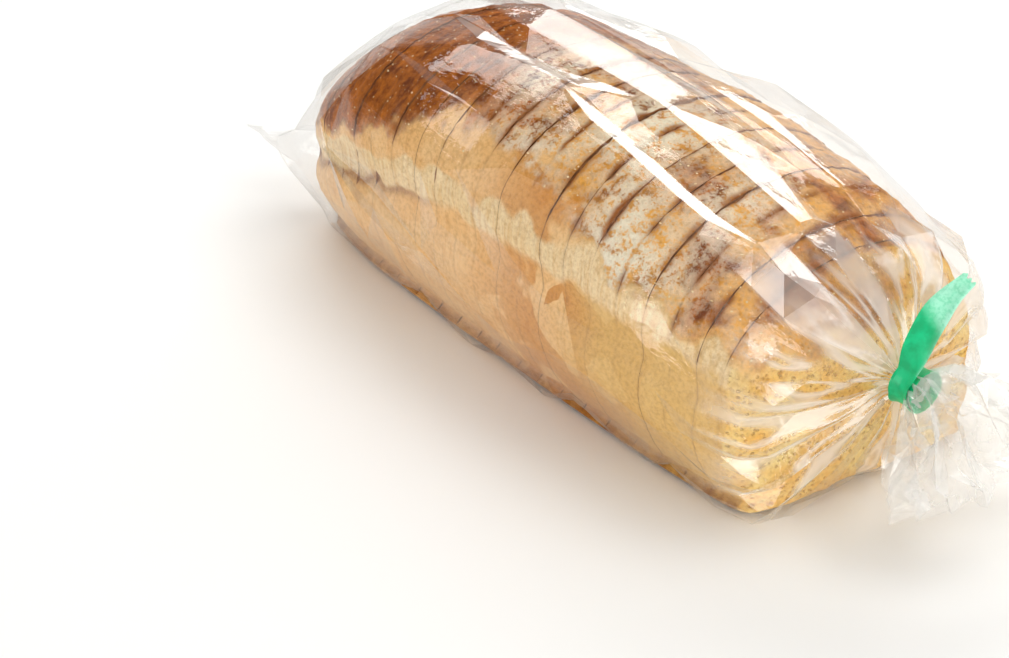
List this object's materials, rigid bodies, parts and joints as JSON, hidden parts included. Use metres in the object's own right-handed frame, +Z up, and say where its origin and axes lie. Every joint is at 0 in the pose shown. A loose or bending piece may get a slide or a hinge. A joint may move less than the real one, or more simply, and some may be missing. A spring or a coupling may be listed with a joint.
{
  "type": "sliced loaf in bread bag",
  "caption": "Domed sliced white loaf lying in a clear glossy bread bag, its welded end eared at the corners and its gathered neck closed by a wound tape tie with a free tail.",
  "frame": {"origin": "bottom centre of the whole object's box, on the surface that the bag lies on", "axes": "+X along the loaf towards the tied neck, -Y towards the loaf's long front side, +Z up"},
  "size_m": [0.3724, 0.1338, 0.1099],
  "materials": {
    "film": "clear, thin and glossy, creased",
    "tape": "glossy green tape",
    "crust": "baked brown crust with a flour bloom",
    "crumb": "soft open white crumb"
  },
  "bodies": {
    "root": {"bag": "film", "tie": "tape"}
  },
  "joints": []
}
